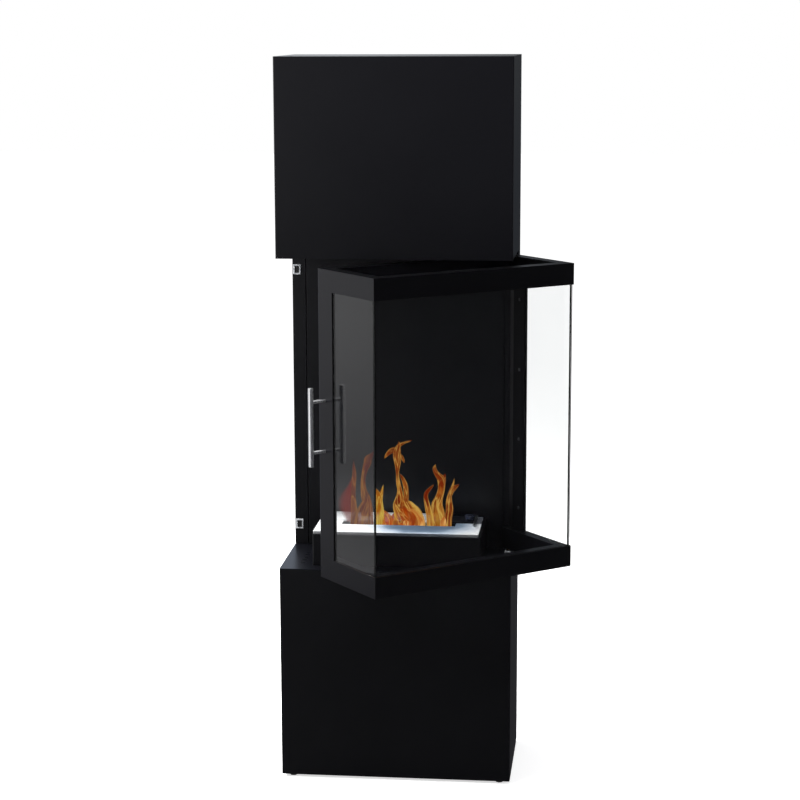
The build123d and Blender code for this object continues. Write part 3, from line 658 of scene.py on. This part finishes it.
# Shades, density, how near the rim it stays solid and how dense the rim is
OPEN_FLAME = (GOLDEN, 0.97, 0.9, 0.25)
OTHER_FLAMES = {
    "beside_edge": (GILDED, 0.97, 0.9, 0.25),
    # The left flames take shades with the left pane's dimming painted in.
    "left_low": (PANE_DIMMED_SHADES, 0.85, 0.8, 0.1),
    "left_tall": (PANE_DIMMED_SHADES, 0.85, 0.8, 0.1),
    "left_faint": (EMBER_PANE_DIMMED, 0.7, 0.3, 0.0),
    "low_left": (SCARLET, 0.9, 0.8, 0.1),
    "low_centre": (SCARLET, 0.95, 0.8, 0.1),
    "low_curls": (BRIGHT, 1.0, 0.8, 0.2),
}


def light_flames():
    for name, (middle_y, tongues) in FLAMES.items():
        look = OTHER_FLAMES.get(name, OPEN_FLAME)
        flame("flame_" + name, middle_y, tongues, flame_light("flame_" + name, *look))


light_flames()


# Fuel pad

PAD_PITCH = 0.003
PAD_ROUGHNESS = 0.0012
PAD_SEED = 3


def fuel_pad():
    """The ceramic wool in the fuel box, with an uneven matted surface."""
    low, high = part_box("fuel_wool")
    shuffle = random.Random(PAD_SEED)
    size = high - low
    counts = [max(2, round(size[i] / PAD_PITCH)) for i in range(3)]
    index = {}
    points, faces = [], []

    def corner(place):
        if place not in index:
            index[place] = len(points)
            point = [low[i] + size[i] * place[i] / counts[i] for i in range(3)]
            for i in range(3):
                if place[i] == 0:
                    point[i] += shuffle.uniform(0, PAD_ROUGHNESS)
                elif place[i] == counts[i]:
                    point[i] -= shuffle.uniform(0, PAD_ROUGHNESS)
            points.append(point)
        return index[place]

    for axis in range(3):
        u, v = [i for i in range(3) if i != axis]
        for end in (0, counts[axis]):
            for i in range(counts[u]):
                for j in range(counts[v]):
                    ring = []
                    for du, dv in ((0, 0), (1, 0), (1, 1), (0, 1)):
                        place = [0, 0, 0]
                        place[axis], place[u], place[v] = end, i + du, j + dv
                        ring.append(corner(tuple(place)))
                    outward = (end > 0) == (axis != 1)
                    faces.append(ring if outward else ring[::-1])
    pad = mesh_object("fuel_pad", points, faces, finishes["ceramic_wool"])
    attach(pad, "burner")
    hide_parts("fuel_wool")


fuel_pad()


# Studio

FLOOR_SIZE = 40.0
FLOOR_LIFT = 0.6
CARD_REACH = 1.7
CARD_TOP = 3.6
GROUND_CARD_HEIGHT = 0.004
WORLD_FILL = 0.6
OBJECT_MIDDLE = (0, 0, 0.8)
BURNER_LEFT = (-0.12, -0.02, 0.49)


def pale_rays(tree):
    """A value of 1 for camera, glossy and transmission rays."""
    path = tree.nodes.new("ShaderNodeLightPath")
    total = path.outputs["Is Camera Ray"]
    for name in ("Is Glossy Ray", "Is Transmission Ray"):
        most = tree.nodes.new("ShaderNodeMath")
        most.operation = "MAXIMUM"
        tree.links.new(total, most.inputs[0])
        tree.links.new(path.outputs[name], most.inputs[1])
        total = most.outputs[0]
    return total


def floor_material():
    """Pale floor that keeps the object's shadow and runs into the white background."""
    material = bpy.data.materials.new("pale_floor")
    material.use_nodes = True
    tree = material.node_tree
    shader = tree.nodes["Principled BSDF"]
    shader.inputs["Base Color"].default_value = (0.86, 0.86, 0.87, 1)
    shader.inputs["Roughness"].default_value = 0.9
    shader.inputs["Specular IOR Level"].default_value = 0.0
    lift = tree.nodes.new("ShaderNodeMath")
    lift.operation = "MULTIPLY"
    lift.inputs[1].default_value = FLOOR_LIFT
    tree.links.new(pale_rays(tree), lift.inputs[0])
    glow = tree.nodes.new("ShaderNodeEmission")
    tree.links.new(lift.outputs[0], glow.inputs["Strength"])
    both = tree.nodes.new("ShaderNodeAddShader")
    tree.links.new(shader.outputs["BSDF"], both.inputs[0])
    tree.links.new(glow.outputs["Emission"], both.inputs[1])
    tree.links.new(both.outputs["Shader"], tree.nodes["Material Output"].inputs["Surface"])
    return material


def lay_floor():
    half = FLOOR_SIZE / 2
    corners = [(-half, -half, 0), (half, -half, 0), (half, half, 0), (-half, half, 0)]
    mesh_object("floor", corners, [(0, 1, 2, 3)], floor_material(), smooth=False)


def card_material(name, rows, side_axis, sides):
    """A studio card, seen only by light that has met a gloss.

    It has greys by height, scaled from its one side to the other.
    """
    material = bpy.data.materials.new(name)
    material.use_nodes = True
    material.cycles.emission_sampling = "NONE"
    tree = material.node_tree
    tree.nodes.remove(tree.nodes["Principled BSDF"])
    place = tree.nodes.new("ShaderNodeSeparateXYZ")
    tree.links.new(tree.nodes.new("ShaderNodeNewGeometry").outputs["Position"], place.inputs[0])

    def ramp(axis, low, high, stops):
        span = tree.nodes.new("ShaderNodeMapRange")
        span.inputs["From Min"].default_value = low
        span.inputs["From Max"].default_value = high
        tree.links.new(place.outputs[axis], span.inputs["Value"])
        node = tree.nodes.new("ShaderNodeValToRGB")
        while len(node.color_ramp.elements) < len(stops):
            node.color_ramp.elements.new(0.5)
        for element, (at, colour) in zip(node.color_ramp.elements, stops):
            element.position = (at - low) / (high - low)
            element.color = (*colour, 1)
        tree.links.new(span.outputs["Result"], node.inputs["Fac"])
        return node.outputs["Color"]

    both = tree.nodes.new("ShaderNodeVectorMath")
    both.operation = "MULTIPLY"
    tree.links.new(ramp("Z", 0.0, CARD_TOP, rows), both.inputs[0])
    tree.links.new(ramp(side_axis, -CARD_REACH, CARD_REACH, sides), both.inputs[1])
    glow = tree.nodes.new("ShaderNodeEmission")
    tree.links.new(both.outputs[0], glow.inputs["Color"])
    mix = tree.nodes.new("ShaderNodeMixShader")
    tree.links.new(tree.nodes.new("ShaderNodeLightPath").outputs["Glossy Depth"], mix.inputs["Fac"])
    tree.links.new(tree.nodes.new("ShaderNodeBsdfTransparent").outputs["BSDF"], mix.inputs[1])
    tree.links.new(glow.outputs["Emission"], mix.inputs[2])
    tree.links.new(mix.outputs["Shader"], tree.nodes["Material Output"].inputs["Surface"])
    return material


def card(name, corners, rows, side_axis="X", sides=((-CARD_REACH, (1, 1, 1)), (CARD_REACH, (1, 1, 1)))):
    """A card beside the object that gloss reflects instead of the white background."""
    material = card_material(name, rows, side_axis, sides)
    obj = mesh_object(name, corners, [(0, 1, 2, 3)], material, smooth=False)
    obj.visible_camera = False
    obj.visible_diffuse = False
    obj.visible_shadow = False


def stand_cards():
    """Grey cards on the four sides and on the ground, as a black glossy object is photographed."""
    r, top, low = CARD_REACH, CARD_TOP, GROUND_CARD_HEIGHT
    card("front_card", [(-r, -r, 0), (r, -r, 0), (r, -r, top), (-r, -r, top)],
         [(0.8, (0.03, 0.03, 0.04)), (1.2, (0.17, 0.17, 0.215))])
    card("left_card", [(-r, r, 0), (-r, -r, 0), (-r, -r, top), (-r, r, top)],
         [(0.0, (0.34, 0.34, 0.35)), (0.3, (0.24, 0.24, 0.25)), (0.7, (0.42, 0.42, 0.43))])
    card("bright_card", [(-1.6, -0.5, 0.0), (-0.75, -1.6, 0.0), (-0.75, -1.6, 2.2), (-1.6, -0.5, 2.2)],
         [(0.0, (1, 1, 1)), (1.0, (1, 1, 1))])
    card("right_card", [(r, -r, 0), (r, r, 0), (r, r, top), (r, -r, top)],
         [(0.0, (0.28, 0.28, 0.3)), (1.0, (0.28, 0.28, 0.3))],
         "Y", [(-0.3, (0.055, 0.055, 0.055)), (0.3, (1, 1, 1))])
    card("back_card", [(r, r, 0), (-r, r, 0), (-r, r, top), (r, r, top)],
         [(0.0, (0.4, 0.45, 0.55)), (1.1, (0.5, 0.56, 0.66)), (1.6, (0.9, 0.95, 1.0))],
         "X", [(-0.35, (1, 1, 1)), (0.25, (0.1, 0.1, 0.1))])
    card("ground_card", [(-r, -r, low), (r, -r, low), (r, r, low), (-r, r, low)],
         [(0.0, (0.05, 0.05, 0.055)), (1.0, (0.05, 0.05, 0.055))])


def paint_world(fill):
    """White where it is seen, and a softer fill for what it lights."""
    world = bpy.data.worlds.new("studio")
    world.use_nodes = True
    bpy.context.scene.world = world
    tree = world.node_tree
    backdrop = tree.nodes["Background"]
    backdrop.inputs["Color"].default_value = (1, 1, 1, 1)
    strength = tree.nodes.new("ShaderNodeMapRange")
    strength.inputs["To Min"].default_value = fill
    strength.inputs["To Max"].default_value = 1.0
    tree.links.new(pale_rays(tree), strength.inputs["Value"])
    tree.links.new(strength.outputs["Result"], backdrop.inputs["Strength"])


def softbox(name, place, aim, size, power, glossy=True):
    lamp = bpy.data.lights.new(name, "AREA")
    lamp.shape = "SQUARE"
    lamp.size = size
    lamp.energy = power
    obj = bpy.data.objects.new(name, lamp)
    obj.location = place
    obj.rotation_euler = (Vector(aim) - Vector(place)).to_track_quat("-Z", "Y").to_euler()
    obj.visible_glossy = glossy
    bpy.context.scene.collection.objects.link(obj)


def set_camera():
    lens = bpy.data.cameras.new("camera")
    lens.sensor_width = SENSOR_WIDTH
    lens.lens = SENSOR_WIDTH * FOCAL_PIXELS / IMAGE_SIZE
    lens.clip_end = 100.0
    camera = bpy.data.objects.new("camera", lens)
    turn = Matrix.Rotation(CAMERA_YAW, 4, "Z") @ Matrix.Rotation(math.pi / 2 + CAMERA_PITCH, 4, "X")
    camera.matrix_world = Matrix.Translation(CAMERA_PLACE) @ turn @ Matrix.Rotation(CAMERA_ROLL, 4, "Z")
    bpy.context.scene.collection.objects.link(camera)
    bpy.context.scene.camera = camera


lay_floor()
stand_cards()
paint_world(WORLD_FILL)
softbox("key", (-2.3, -2.2, 2.9), OBJECT_MIDDLE, 1.6, 70)
softbox("fill", (2.4, -2.6, 2.8), OBJECT_MIDDLE, 1.6, 22, glossy=False)
softbox("side", (-1.3, 0.45, 1.25), BURNER_LEFT, 0.7, 110, glossy=False)
set_camera()
bpy.context.scene.view_settings.view_transform = "Standard"
bpy.context.scene.cycles.blur_glossy = 0.0
